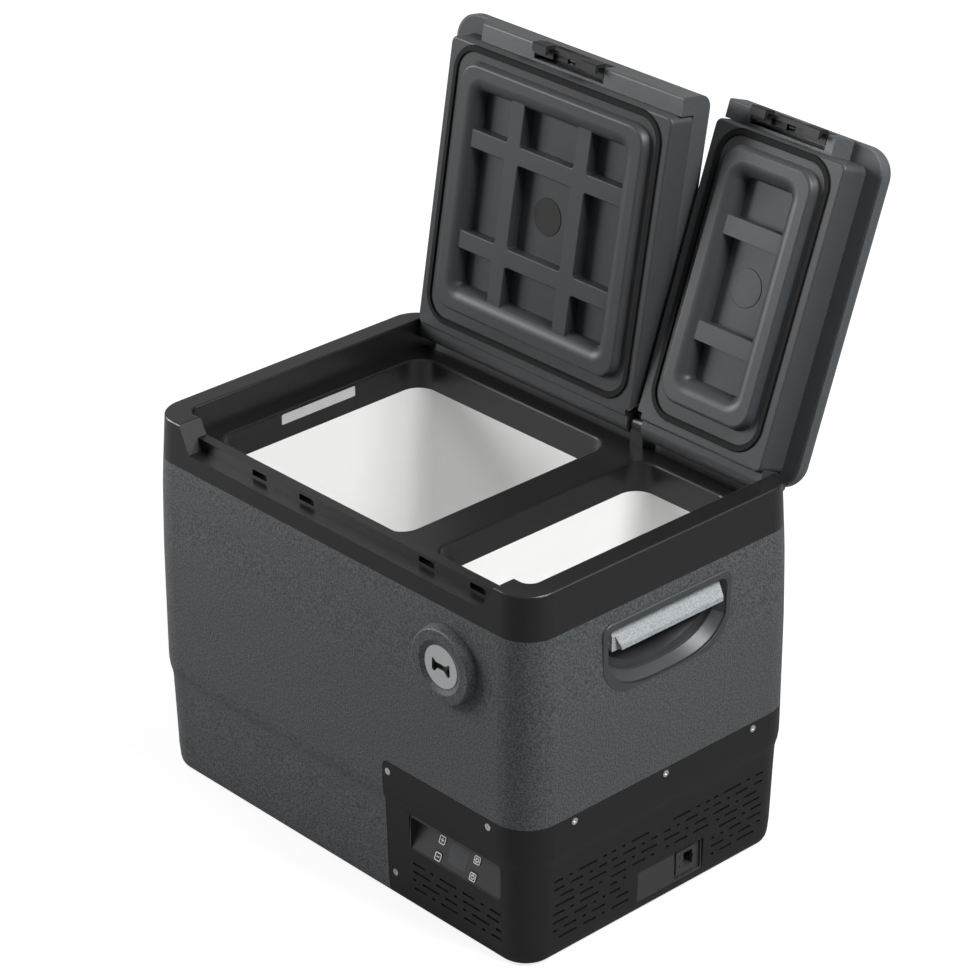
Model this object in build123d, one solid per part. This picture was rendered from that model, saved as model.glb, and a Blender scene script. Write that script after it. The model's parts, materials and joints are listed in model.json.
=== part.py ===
from build123d import *
import math
import os

os.makedirs("parts", exist_ok=True)

# Compressor cooler fridge with two compartments under two separate lids. All sizes in millimetres.
# X runs along the front from left to right, Y from the front to the back, Z up from the floor.
# The origin is under the middle of the body, on the floor.

# ---- fits ----
FIT = 0.3  # gap between moulded pieces that fit into each other
SEAM = 0.6  # visible seam between the vent cover and the shell
RUNNING = 0.1  # radial clearance of a pin that turns in its bore
PRESSED = 0.02  # radial clearance of a pin that is held in its bore
WALL = 3.0  # plain moulded wall
SKIN = 3.5  # wall of the shell and of the vent cover

# ---- body ----
BELT_X = 592.3  # length at the joint between shell and rim
BELT_Y = 396.4  # depth at the same joint
DECK = 408.0  # height of the deck between and around the wells
BELT_Z = DECK - 16.3  # height of the joint between shell and rim
END = BELT_X / 2
SIDE = BELT_Y / 2
CORNER = 38.3  # plan radius of the body corners
FOOT_STAND = 2.0  # height of the feet under the shell
# height, inset from the belt outline: a rounded foot edge, a tapered skirt, a step, a full belly, a tapered top
BODY_PROFILE = [
    (FOOT_STAND, 10.5),
    (FOOT_STAND + 1.6, 7.6),
    (FOOT_STAND + 4.5, 5.9),
    (12.0, 4.6),
    (26.0, 3.4),
    (79.0, 1.7),
    (105.0, 0.8),
    (119.0, 0.2),
    (124.5, -0.9),
    (131.0, -2.6),
    (139.0, -3.6),
    (150.0, -3.85),
    (BELT_Z - 133.7, -3.85),
    (BELT_Z - 108.7, -3.7),
    (BELT_Z - 83.7, -3.2),
    (BELT_Z - 58.7, -2.6),
    (BELT_Z - 33.7, -1.9),
    (BELT_Z - 17.7, -1.1),
    (BELT_Z - 5.7, -0.4),
    (BELT_Z, 0.0),
]

FEET = [(sx * (END - 61.15), sy * (SIDE - 53.2)) for sx in (-1, 1) for sy in (-1, 1)]
FOOT_R = 14.0
FOOT_STEM_R = 5.0

# ---- rim ----
PARTITION_X = END - 218.25  # middle of the gap between the lids
RIM_TOP = DECK + 33.4  # top of the end walls
RIM_TOP_INSET = 3.2  # taper of the rim from the belt to its top
RIM_EDGE = 2.6  # rounding of the rim's upper edges
DECK_T = 4.0
END_WALL_IN = END - 29.15  # inner face of the end walls at the top
END_WALL_IN_LOW = END_WALL_IN - 2.0  # and at the deck
LEDGE = DECK + 3.5  # low front ledge, in front of the ridge
RIDGE = DECK + 16.0  # top of the ridge the lid skirts close over
RIDGE_FRONT = -SIDE + 20.2
RIDGE_BACK = RIDGE_FRONT + 12.0
TROUGH_CORNER = 13.0  # plan radius behind the front corner posts
POST_TOP_X = END - 50.65  # slanted inner end of the front corner posts, at the top
POST_LOW_X = POST_TOP_X - 17.5  # and at the ledge
REAR_FLOOR = DECK - 4.0  # lower floor under the lid barrels
REAR_STEP_Y = SIDE - 18.7
HINGE_Y = SIDE - 13.2
HINGE_Z = DECK + 22.0
HINGE_ROUND = 11.5  # rounded rear ends of the end walls, about the hinge axis
HINGE_POST_X = (PARTITION_X - 9.4, PARTITION_X + 9.6)
HINGE_POST_R = 10.5
PIN_R = 4.0
PIN_HOLD = 22.0  # length of a hinge pin inside a lid
SLOT_W = 23.0  # claw slots in the ridge
SLOT_H = 7.0
SLOT_Z = DECK + 9.0
SLOT_DEEP = 8.0
CLAW_PITCH = 76.0

# ---- wells ----
VENT_TOP = 173.0  # top of the vent cover
COMPARTMENT_TOP = VENT_TOP + 3.0  # ceiling of the machinery space, under the small well
COLLAR_LOW = DECK - 34.0  # lower end of the black collars, where the white tubs begin
WELL_Y = (-SIDE + 50.2, SIDE - 41.2)
WELLS = {
    "large": {"x": (-END + 51.15, PARTITION_X - 21.9), "y": WELL_Y, "floor": 45.0},
    "small": {"x": (PARTITION_X + 23.6, END - 53.65), "y": WELL_Y, "floor": COMPARTMENT_TOP + 14.0},
}
WELL_CORNER = 24.0
WELL_DRAFT = 4.0  # the collar narrows by this much at the back on its way down
MOUTH_EDGE = 2.4  # rounding of the collar's mouth
TUB_WALL = 2.5
TUB_FLANGE = 7.0
TUB_TAPER = 3.0
TUB_EDGE = 12.0  # rounding between a tub's walls and floor
PLATE_T = 1.5  # cold plate round a tub
LED_Y = (-52.0, 56.0)  # window of the light in the left collar
LED_Z = (DECK - 16.5, DECK - 3.5)

# ---- lids, in lid coordinates: v from the hinge axis towards the latch, w up from the axis when closed ----
LIDS = {
    "large": {"x": (-END_WALL_IN_LOW + 1.5, PARTITION_X - 2.65), "open": 99.5, "outer_side": -1},
    "small": {"x": (PARTITION_X + 2.6, END_WALL_IN_LOW - 1.5), "open": 110.0, "outer_side": 1},
}
LATCH_X = {
    "large": sum(WELLS["large"]["x"]) / 2 - 0.5,
    "small": sum(WELLS["small"]["x"]) / 2 - 5.0,
}
COVER_X = END - 8.15  # outer ends of the covers
COVER_V = (-6.0, HINGE_Y + SIDE - 18.2)
COVER_W = (12.6, 37.0)
COVER_CORNER = 30.0
COVER_EDGE = 16.0  # rounding of the top edge
PANEL_W = -19.5  # face of the inner panel
PANEL_V = (8.0, COVER_V[1] - 21.0)
PANEL_LEAN = 2.5  # the panel's outer side leans out by this much on its way to the cover
PANEL_EDGE = 3.0  # rounding round the panel's face
SKIRT_W = -6.0  # bottom of the skirt that closes over the ridge
SKIRT_OUT_LOW = POST_LOW_X + 2.5  # outer end of the skirt at its bottom
SKIRT_OUT_HIGH = POST_TOP_X - 4.5  # and at the cover's underside
SKIRT_EDGE = 2.6
BARREL_R = 14.5
BARREL_TOE = 21.0  # radius of the barrel's lower front
PLUG_RISE = 9.5  # dished plug above the panel face
PLUG_EDGE = 3.5
PLUG_CORNER = 26.0
DISH_IN = 32.0  # the dish's steep wall, inside the plug's outline
DISH_CORNER = 5.0
DISH_ROUND = 16.0  # the broad rounding from the plug's lip down into the dish
DISH_DROP = 19.0  # dish floor below the lip
RIB_DROP = 4.5  # rib tops below the lip
RIB_W = 20.8
RIB_SHARE_X = 0.32  # ribs lie at this share of the plug's length from either end
RIB_SHARE_V = 0.297
PLUG = {
    "large": {"x": (WELLS["large"]["x"][0] + 9.0, WELLS["large"]["x"][1] - 6.0), "long_ribs": True},
    "small": {"x": (WELLS["small"]["x"][0] + 5.5, WELLS["small"]["x"][1] - 4.0), "long_ribs": False},
}
PLUG_V = (HINGE_Y - WELL_Y[1] + 12.0, HINGE_Y - WELL_Y[0] - 6.0)
DISC_R = 21.0
GASKET_W = 8.0
GASKET_MID = 5.5  # middle of the gasket outside the well's mouth
GASKET_RISE = 1.9  # part of the gasket that stands out of its groove
GASKET_GROOVE = 1.6
LATCH_W = 104.0
LATCH_V = (COVER_V[1] - 12.0, COVER_V[1] - 0.4)
LATCH_PIVOT = (COVER_V[1] - 8.0, 2.0)
LATCH_PIN_R = 1.5
CLAW_W = 21.0

# ---- front corner vent cover ----
VENT_X = END - 212.15  # left edge on the front
VENT_BACK_X = END - 50.15  # end on the back
VENT_RETURN = 14.0  # width of the cover's return under the body
SCREW_R = 4.0
FRONT_SCREWS = [(VENT_X + 8.0, VENT_TOP - 11.5), (END - 51.15, VENT_TOP - 9.0), (VENT_X + 11.0, 34.0)]
SIDE_SCREWS = [(-SIDE + 66.2, VENT_TOP - 7.0), (1.0, VENT_TOP - 6.5), (SIDE - 64.7, VENT_TOP - 7.0)]
PANEL_X = (VENT_X + 35.5, END - 37.15)
PANEL_Z = (77.0, 121.0)
PANEL_TILT = 20.8
SLOT_ROW_H = 2.8
FRONT_ROWS_Z = 28.0
SIDE_ROWS_Z = 26.0
ROW_PITCH = 10.4
DC_Y = (-30.0, 69.0)
DC_Z = (14.0, 54.0)

# ---- handles ----
HANDLE_TOP = BELT_Z - 14.7
HANDLE_BOTTOM = HANDLE_TOP - 92.0
HANDLE_HALF = 95.0
HANDLE_BEAD = 7.0  # width of the rounded bead round the opening
HANDLE_RISE = 3.6  # height of the bead above the body
HANDLE_DISH = 13.0  # depth of the sloping band inside the bead
HANDLE_DEEP = 33.0  # depth of the hand pocket

# ---- opener ----
OPENER_X = END - 113.15
OPENER_Z = BELT_Z - 62.2
OPENER_BOSS_R = 43.0
OPENER_RISE = 10.5
OPENER_PLATE_R = 24.0
STUD_R = 6.0

# ---- machinery ----
COMPARTMENT_X = VENT_X  # left face of the machinery space
SHEET = 1.0
TRAY_TOP = FOOT_STAND + 7.7
COMPRESSOR_X = END - 128.15
COMPRESSOR_Y = SIDE - 110.2
COMPRESSOR_FEET = [(COMPRESSOR_X + dx, COMPRESSOR_Y + dy) for dx in (-52, 52) for dy in (-52, 52)]
FAN_X = END - 64.15
FAN_Y = -SIDE + 106.2
FAN_Z = 68.0
FAN_SIDE = 92.0
FAN_T = 25.0


# ---------------------------------------------------------------- helpers
def block(x, y, z):
    """A box between two values along each axis."""
    centre = Pos((x[0] + x[1]) / 2, (y[0] + y[1]) / 2, (z[0] + z[1]) / 2)
    return centre * Box(x[1] - x[0], y[1] - y[0], z[1] - z[0])


def rounded_face(x, y, z, radius):
    """A horizontal rounded rectangle."""
    return Pos((x[0] + x[1]) / 2, (y[0] + y[1]) / 2, z) * RectangleRounded(x[1] - x[0], y[1] - y[0], radius)


def rounded_block(x, y, z, radius):
    """A box with rounded vertical edges."""
    return extrude(rounded_face(x, y, z[0], radius), amount=z[1] - z[0], dir=(0, 0, 1))


def tapered_block(x, y, z, radius, shrink):
    """A rounded box whose top is smaller (or larger) than its bottom by shrink on every side."""
    low = rounded_face(x, y, z[0], radius)
    high = rounded_face((x[0] + shrink, x[1] - shrink), (y[0] + shrink, y[1] - shrink), z[1], radius)
    return loft([low, high], ruled=True)


def body_stack(inset, z_low=None, z_high=None):
    """The body's outer form moved inwards by inset, between two heights."""
    faces = []
    levels = [(z, i) for z, i in BODY_PROFILE]
    if z_low is not None:
        levels = [(z_low, level_inset(z_low))] + [(z, i) for z, i in levels if z > z_low + 0.5]
    if z_high is not None:
        levels = [(z, i) for z, i in levels if z < z_high - 0.5] + [(z_high, level_inset(z_high))]
    for z, extra in levels:
        total = inset + extra
        half_x = END - total
        half_y = SIDE - total
        faces.append(rounded_face((-half_x, half_x), (-half_y, half_y), z, CORNER - total))
    return loft(faces, ruled=True)


def level_inset(z):
    """The body's inset at any height, between the levels of its profile."""
    for (z0, i0), (z1, i1) in zip(BODY_PROFILE, BODY_PROFILE[1:]):
        if z0 <= z <= z1:
            return i0 + (i1 - i0) * (z - z0) / (z1 - z0)
    return BODY_PROFILE[-1][1]


def front_y(z):
    """The y of the front face at a height."""
    return -(SIDE - level_inset(z))


def side_x(z):
    """The x of the right face at a height."""
    return END - level_inset(z)


def prism_x(points, x):
    """A polygon of (y, z) points run along X."""
    plane = Plane(origin=(x[0], 0, 0), x_dir=(0, 1, 0), z_dir=(1, 0, 0))
    return extrude(plane * Polygon(*points, align=None), amount=x[1] - x[0], dir=(1, 0, 0))


def prism_y(points, y):
    """A polygon of (x, z) points run along Y."""
    plane = Plane(origin=(0, y[0], 0), x_dir=(1, 0, 0), z_dir=(0, -1, 0))
    return extrude(plane * Polygon(*points, align=None), amount=y[1] - y[0], dir=(0, 1, 0))


def rounded_y(x, z, y, radius):
    """A rounded rectangle in X and Z run along Y."""
    plane = Plane(origin=((x[0] + x[1]) / 2, y[0], (z[0] + z[1]) / 2), x_dir=(1, 0, 0), z_dir=(0, -1, 0))
    return extrude(plane * RectangleRounded(x[1] - x[0], z[1] - z[0], radius), amount=y[1] - y[0], dir=(0, 1, 0))


def rounded_x(y, z, x, radius):
    """A rounded rectangle in Y and Z run along X."""
    plane = Plane(origin=(x[0], (y[0] + y[1]) / 2, (z[0] + z[1]) / 2), x_dir=(0, 1, 0), z_dir=(1, 0, 0))
    return extrude(plane * RectangleRounded(y[1] - y[0], z[1] - z[0], radius), amount=x[1] - x[0], dir=(1, 0, 0))


def rod_x(radius, x, y, z):
    """A cylinder along X."""
    return Pos((x[0] + x[1]) / 2, y, z) * Rot(0, 90, 0) * Cylinder(radius, x[1] - x[0])


def rod_y(radius, x, y, z):
    """A cylinder along Y."""
    return Pos(x, (y[0] + y[1]) / 2, z) * Rot(90, 0, 0) * Cylinder(radius, y[1] - y[0])


def rod_z(radius, x, y, z):
    """A cylinder along Z."""
    return Pos(x, y, (z[0] + z[1]) / 2) * Cylinder(radius, z[1] - z[0])


def fuse(shapes):
    """One shape from a list."""
    total = shapes[0]
    for shape in shapes[1:]:
        total = total + shape
    return total


def save(name, shape):
    """Writes one named piece."""
    solids = shape.solids()
    whole = Compound(children=list(solids)) if len(solids) > 1 else solids[0]
    whole.label = name
    export_step(whole, f"parts/{name}.step")


def mirror_x(shape):
    return mirror(shape, about=Plane.YZ)


# ---------------------------------------------------------------- shell
def vent_region(grow):
    """The front right corner and right side that the vent cover takes over, grown or shrunk all round."""
    far = END + 30
    low = FOOT_STAND - 10
    front = rounded_y((VENT_X - grow, far + 40), (low, VENT_TOP + grow), (-far, 0), 9.0)
    back = block((VENT_BACK_X - grow, far), (-1, far), (low, VENT_TOP + grow))
    core_in = VENT_RETURN + grow
    core = block(
        (-far, END - core_in - 4),
        (-SIDE + core_in + 4, SIDE - core_in - 4),
        (low - 1, VENT_TOP + grow + 1),
    )
    return front + back - core


def handle_outline(drop):
    """The handle opening in Y and Z, made smaller all round by drop: a straight top and a bowed bottom."""
    half = HANDLE_HALF - drop
    side = HANDLE_BOTTOM + 37.0 + drop * 0.4
    low = HANDLE_BOTTOM + drop
    corner = max(14.0 - drop * 0.4, 4.0)
    right = (half - 1.5, side)
    left = (-half + 1.5, side)
    bottom = [right, (half - 17, low + 13.5), (0, low), (-half + 17, low + 13.5), left]
    with BuildSketch(Plane.XY) as sketch:
        with BuildLine():
            Polyline(left, (-half, HANDLE_TOP - drop), (half, HANDLE_TOP - drop), right)
            Spline(bottom)
        make_face()
        fillet(sketch.vertices().sort_by(Axis.Y)[-2:], corner)
    return sketch.sketch


def handle_loft(drops, x):
    """The handle opening between two depths, its outline changing from the first drop to the second."""
    ends = []
    for drop, at in zip(drops, x):
        plane = Plane(origin=(at, 0, 0), x_dir=(0, 1, 0), z_dir=(1, 0, 0))
        ends.append(plane * handle_outline(drop))
    return loft(ends, ruled=True)


def handle_prism(drop, x):
    """The handle opening run along X."""
    plane = Plane(origin=(x[0], 0, 0), x_dir=(0, 1, 0), z_dir=(1, 0, 0))
    return extrude(plane * handle_outline(drop), amount=x[1] - x[0], dir=(1, 0, 0))


def make_shell():
    outer = body_stack(0)
    inner = body_stack(SKIN, z_low=FOOT_STAND + 4.5)
    mouth = block((-END + 46, END - 46), (-SIDE + 48, SIDE - 48), (BELT_Z - 5, BELT_Z + 5))
    shell = outer - inner - mouth
    shell = shell - vent_region(SEAM)
    hole = handle_prism(5.0, (END - 30, END + 20))
    shell = shell - hole - mirror_x(hole)
    front = front_y(OPENER_Z)
    shell = shell - rod_y(STUD_R + 0.2, OPENER_X, (front - 10, front + 12), OPENER_Z)
    # moulded field under the middle, level with the feet
    shell = shell + rounded_block((-END + 116, END - 116), (-SIDE + 98, SIDE - 98), (0, FOOT_STAND + 0.2), 30)
    for x, y in FEET:
        shell = shell - rod_z(FOOT_STEM_R + FIT, x, y, (0, FOOT_STAND + 4.5))
    return shell


# ---------------------------------------------------------------- rim
def rim_levels(inset, z_low, z_high):
    """The rim's outer form between two heights."""
    faces = []
    for z in (z_low, z_high):
        extra = RIM_TOP_INSET * (z - BELT_Z) / (RIM_TOP - BELT_Z) + inset
        half_x = END - extra
        half_y = SIDE - extra
        faces.append(rounded_face((-half_x, half_x), (-half_y, half_y), z, CORNER - extra))
    return loft(faces, ruled=True)


def well_shape(name, grow, z_low, z_high):
    """The inside of a well's collar, with its back wall leaning in on the way down."""
    well = WELLS[name]
    x = (well["x"][0] - grow, well["x"][1] + grow)
    y = (well["y"][0] - grow, well["y"][1] + grow)
    radius = WELL_CORNER + grow
    faces = []
    for z in (z_low, z_high):
        lean = WELL_DRAFT * (DECK - z) / (DECK - COLLAR_LOW)
        faces.append(rounded_face(x, (y[0], y[1] - lean), z, radius))
    return loft(faces, ruled=True)


def rim_outside():
    """The rim's solid form: end walls, front posts, ridge and ledge, its upper edges rounded."""
    rim = rim_levels(0, BELT_Z, RIM_TOP)
    high = RIM_TOP + 5
    lean = (END_WALL_IN - END_WALL_IN_LOW) * (high - DECK) / (RIM_TOP - DECK)
    y = (RIDGE_BACK, SIDE + 30)
    low_face = rounded_face((-END_WALL_IN_LOW, END_WALL_IN_LOW), y, DECK, TROUGH_CORNER)
    high_in = END_WALL_IN_LOW + lean
    high_face = rounded_face((-high_in, high_in), y, high, TROUGH_CORNER)
    rim = rim - loft([low_face, high_face], ruled=True)
    slope = (POST_TOP_X - POST_LOW_X) / (RIM_TOP - LEDGE)
    high_x = POST_LOW_X + slope * (high - LEDGE)
    ridge_x = POST_LOW_X + slope * (RIDGE - LEDGE)
    ledge_cut = [(-POST_LOW_X, LEDGE), (POST_LOW_X, LEDGE), (high_x, high), (-high_x, high)]
    ridge_cut = [(-ridge_x, RIDGE), (ridge_x, RIDGE), (high_x, high), (-high_x, high)]
    rim = rim - prism_y(ledge_cut, (-BELT_Y, RIDGE_FRONT))
    rim = rim - prism_y(ridge_cut, (-BELT_Y, RIDGE_BACK + 1))
    tops = [edge for edge in rim.edges() if abs(edge.center().Z - RIM_TOP) < 0.01]
    return fillet(tops, RIM_EDGE)


def make_rim():
    rim = rim_outside()
    # low floor behind the step, and a low rear wall
    low_floor = block((-END_WALL_IN_LOW, END_WALL_IN_LOW), (REAR_STEP_Y, BELT_Y), (REAR_FLOOR, RIM_TOP + 5))
    rim = rim - low_floor
    # rear ends of the end walls, rounded about the hinge axis
    keep = rod_x(HINGE_ROUND, (-BELT_X, BELT_X), HINGE_Y, HINGE_Z)
    keep = keep + block((-BELT_X, BELT_X), (HINGE_Y, HINGE_Y + 5.5), (HINGE_Z - 60, HINGE_Z))
    rim = rim - (block((-BELT_X, BELT_X), (HINGE_Y, BELT_Y), (HINGE_Z - 12, RIM_TOP + 5)) - keep)
    # hollow underside
    hollow = rim_levels(WALL + 0.6, BELT_Z - 1, DECK - DECK_T)
    hollow = hollow - block((-BELT_X, BELT_X), (REAR_STEP_Y - 3, BELT_Y), (REAR_FLOOR - DECK_T, DECK))
    for name in WELLS:
        hollow = hollow - well_shape(name, WALL, BELT_Z - 2, DECK)
    rim = rim - hollow
    for side in (-1, 1):
        x = sorted((side * (END_WALL_IN + 3.5), side * (END - RIM_TOP_INSET - 3.5)))
        y = (WELL_Y[0] - 2, WELL_Y[1] + 3)
        rim = rim - rounded_block(x, y, (DECK - DECK_T - 1, RIM_TOP - WALL), 5)
    # collars
    for name in WELLS:
        rim = rim + well_shape(name, WALL, COLLAR_LOW, DECK - 1)
    for name in WELLS:
        rim = rim - well_shape(name, 0, COLLAR_LOW - 1, DECK + 1)
        rim = rim - mouth_bevel(name, 0.3 * MOUTH_EDGE, MOUTH_EDGE) - mouth_bevel(name, MOUTH_EDGE, 0.3 * MOUTH_EDGE)
    # claw slots
    for centre in LATCH_X.values():
        for side in (-1, 1):
            at = centre + side * CLAW_PITCH / 2
            x = (at - SLOT_W / 2, at + SLOT_W / 2)
            z = (SLOT_Z - SLOT_H / 2, SLOT_Z + SLOT_H / 2)
            rim = rim - rounded_y(x, z, (RIDGE_FRONT - 1, RIDGE_FRONT + SLOT_DEEP), 1.2)
    # hinge post with its round head, and the bores of the hinge pins
    post = block(HINGE_POST_X, (HINGE_Y - 10, HINGE_Y + HINGE_POST_R), (REAR_FLOOR - 1, HINGE_Z))
    rim = rim + post + rod_x(HINGE_POST_R, HINGE_POST_X, HINGE_Y, HINGE_Z)
    rim = rim - rod_x(PIN_R + PRESSED, (HINGE_POST_X[0] - 2, HINGE_POST_X[1] + 2), HINGE_Y, HINGE_Z)
    for side in (-1, 1):
        x = sorted((side * (END_WALL_IN_LOW - 2), side * (END_WALL_IN_LOW + 20)))
        rim = rim - rod_x(PIN_R + PRESSED, x, HINGE_Y, HINGE_Z)
    # window for the light in the left collar
    left = WELLS["large"]["x"][0]
    return rim - rounded_x(LED_Y, LED_Z, (left - WALL - 2, left + 2), 2.0)


def mouth_bevel(name, wide, deep):
    """A bevel round a collar's mouth."""
    well = WELLS[name]
    lean = WELL_DRAFT * deep / (DECK - COLLAR_LOW)
    low = rounded_face(well["x"], (well["y"][0], well["y"][1] - lean), DECK - deep, WELL_CORNER)
    wide_x = (well["x"][0] - wide, well["x"][1] + wide)
    wide_y = (well["y"][0] - wide, well["y"][1] + wide)
    high = rounded_face(wide_x, wide_y, DECK + 0.01, WELL_CORNER + wide)
    return loft([low, high], ruled=True)


# ---------------------------------------------------------------- tubs and cold plates
def tub_outline(name, grow):
    """x and y of the tub's inside at the collar, grown outwards."""
    well = WELLS[name]
    x = (well["x"][0] - grow, well["x"][1] + grow)
    y = (well["y"][0] - grow, well["y"][1] - WELL_DRAFT + grow)
    return x, y


def make_tub(name):
    floor = WELLS[name]["floor"]
    top = COLLAR_LOW
    x, y = tub_outline(name, 0)
    inside = tub_form(x, y, floor, top + 1, WELL_CORNER)
    x_out, y_out = tub_outline(name, TUB_WALL)
    outside = tub_form(x_out, y_out, floor - TUB_WALL, top, WELL_CORNER + TUB_WALL)
    x_fl, y_fl = tub_outline(name, TUB_FLANGE)
    flange = rounded_block(x_fl, y_fl, (top - TUB_WALL, top), WELL_CORNER + TUB_FLANGE)
    return outside + flange - inside


def tub_form(x, y, low, high, radius):
    """A tub with slightly tapered walls and a rounded floor edge."""
    low_x = (x[0] + TUB_TAPER, x[1] - TUB_TAPER)
    low_y = (y[0] + TUB_TAPER, y[1] - TUB_TAPER)
    tapered = tapered_block(low_x, low_y, (low, high), radius, -TUB_TAPER)
    return fillet(tapered.faces().sort_by(Axis.Z)[0].edges(), TUB_EDGE)


def make_cold_plate(name):
    """A plate folded round three sides of a tub."""
    floor = WELLS[name]["floor"]
    x, y = tub_outline(name, TUB_WALL + FIT)
    z = (floor + 20, COLLAR_LOW - 20)
    outer_x, outer_y = tub_outline(name, TUB_WALL + FIT + PLATE_T)
    radius = WELL_CORNER + TUB_WALL + FIT
    plate = rounded_block(outer_x, outer_y, z, radius + PLATE_T)
    plate = plate - rounded_block(x, y, (z[0] - 1, z[1] + 1), radius)
    seam = block((x[0] + 30, x[1] - 30), (outer_y[0] - 5, y[0] + 5), (z[0] - 1, z[1] + 1))
    return plate - seam


def make_compartment_wall():
    """The sheet between the machinery and the foam: an upright and a ceiling."""
    y = (-SIDE + SKIN + 6, SIDE - SKIN - 6)
    right = END - SKIN - 6
    left = COMPARTMENT_X - 6
    upright = block((left - SHEET, left), y, (FOOT_STAND + 6, COMPARTMENT_TOP))
    ceiling = rounded_block((left - 60, right), y, (COMPARTMENT_TOP, COMPARTMENT_TOP + SHEET), CORNER - 8)
    return upright + (ceiling & block((left - SHEET, right), y, (0, BELT_Z)))


def make_foam():
    foam = body_stack(SKIN + FIT, z_low=FOOT_STAND + 5.0, z_high=BELT_Z - 0.4)
    space_x = (COMPARTMENT_X - 6 - SHEET - FIT, BELT_X)
    foam = foam - block(space_x, (-BELT_Y, BELT_Y), (-5, COMPARTMENT_TOP + SHEET + FIT))
    for name in WELLS:
        floor = WELLS[name]["floor"]
        x, y = tub_outline(name, TUB_WALL + FIT + PLATE_T + FIT)
        foam = foam - rounded_block(x, y, (floor - TUB_WALL - FIT, BELT_Z + 5), WELL_CORNER + 4)
        x, y = tub_outline(name, TUB_FLANGE + FIT)
        foam = foam - rounded_block(x, y, (COLLAR_LOW - TUB_WALL - FIT, BELT_Z + 5), WELL_CORNER + TUB_FLANGE)
    pocket = handle_prism(1.0, (END - 34, BELT_X))
    foam = foam - pocket - mirror_x(pocket)
    front = front_y(OPENER_Z)
    foam = foam - rod_y(STUD_R + 10, OPENER_X, (front - 5, front + 22), OPENER_Z)
    left = WELLS["large"]["x"][0]
    return foam - block((left - 16, left), (LED_Y[0] - 8, LED_Y[1] + 8), (BELT_Z - 6, BELT_Z + 5))


# ---------------------------------------------------------------- machinery
def make_base_tray():
    y = (-SIDE + 24, SIDE - 24)
    x = (COMPARTMENT_X, END - 17)
    z0 = FOOT_STAND + 4.5
    tray = rounded_block(x, y, (z0, z0 + 9), 8)
    tray = tray - rounded_block((x[0] + 1.2, x[1] - 1.2), (y[0] + 1.2, y[1] - 1.2), (z0 + 1.2, z0 + 20), 6.8)
    for px, py in COMPRESSOR_FEET:
        tray = tray + rod_z(7.0, px, py, (z0 + 1.0, z0 + 3.2))
    return tray


def make_compressor():
    base = TRAY_TOP + 12
    plate_x = (COMPRESSOR_X - 62, COMPRESSOR_X + 62)
    plate = rounded_block(plate_x, (COMPRESSOR_Y - 62, COMPRESSOR_Y + 62), (base, base + 2.5), 12)
    can = rod_z(54, COMPRESSOR_X, COMPRESSOR_Y, (base + 1, base + 108))
    can = fillet(can.edges().filter_by(GeomType.CIRCLE).sort_by(Axis.Z)[-1:], 26)
    seam = rod_z(57, COMPRESSOR_X, COMPRESSOR_Y, (base + 52, base + 57))
    stub = rod_x(4, (COMPRESSOR_X - 74, COMPRESSOR_X - 40), COMPRESSOR_Y - 14, base + 70)
    box = block((COMPRESSOR_X + 40, COMPRESSOR_X + 72), (COMPRESSOR_Y - 24, COMPRESSOR_Y + 24), (base + 18, base + 48))
    body = plate + can + seam + stub + box
    for px, py in COMPRESSOR_FEET:
        body = body - rod_z(5.2, px, py, (base - 1, base + 4))
    return body


def make_mounts():
    parts = []
    for px, py in COMPRESSOR_FEET:
        low = rod_z(8, px, py, (TRAY_TOP, TRAY_TOP + 12))
        neck = rod_z(5.2 - FIT, px, py, (TRAY_TOP + 11, TRAY_TOP + 15.5))
        cap = rod_z(7, px, py, (TRAY_TOP + 12 + 2.5 + FIT, TRAY_TOP + 17.5))
        parts.append(low + neck + cap)
    return parts


def make_fan_frame():
    half = FAN_SIDE / 2
    x = (FAN_X, FAN_X + FAN_T)
    frame = rounded_x((FAN_Y - half, FAN_Y + half), (FAN_Z - half, FAN_Z + half), x, 5)
    frame = frame - rod_x(half - 3, (x[0] - 1, x[1] + 1), FAN_Y, FAN_Z)
    hub = rod_x(18, (x[0], x[0] + 4), FAN_Y, FAN_Z)
    arms = []
    for angle in (45, 135, 225, 315):
        arm = block((x[0], x[0] + 4), (FAN_Y - 2.5, FAN_Y + 2.5), (FAN_Z, FAN_Z + half - 1))
        arms.append(arm.rotate(Axis((0, FAN_Y, FAN_Z), (1, 0, 0)), angle))
    spindle = rod_x(2.0, (x[0] + 3, x[0] + 20), FAN_Y, FAN_Z)
    frame = frame + hub + fuse(arms) + spindle
    foot = block((x[0], x[1]), (FAN_Y - half + 6, FAN_Y + half - 6), (TRAY_TOP - 2.0, FAN_Z - half + 1))
    frame = frame + foot
    for dy in (-1, 1):
        for dz in (-1, 1):
            frame = frame - rod_x(2.2, (x[0] - 1, x[1] + 1), FAN_Y + dy * 41, FAN_Z + dz * 41)
    return frame


def make_fan_rotor():
    x0 = FAN_X + 5
    rotor = rod_x(17.5, (x0, x0 + 18), FAN_Y, FAN_Z)
    blades = []
    for i in range(7):
        blade = block((x0 + 7.8, x0 + 9.8), (FAN_Y - 8.5, FAN_Y + 8.5), (FAN_Z + 16, FAN_Z + 40.5))
        blade = blade.rotate(Axis((x0 + 8.8, FAN_Y, FAN_Z), (0, 0, 1)), 38)
        blades.append(blade.rotate(Axis((0, FAN_Y, FAN_Z), (1, 0, 0)), i * 360 / 7))
    rotor = rotor + fuse(blades)
    return rotor - rod_x(2.0 + RUNNING, (x0 - 1, x0 + 16), FAN_Y, FAN_Z)


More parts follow.
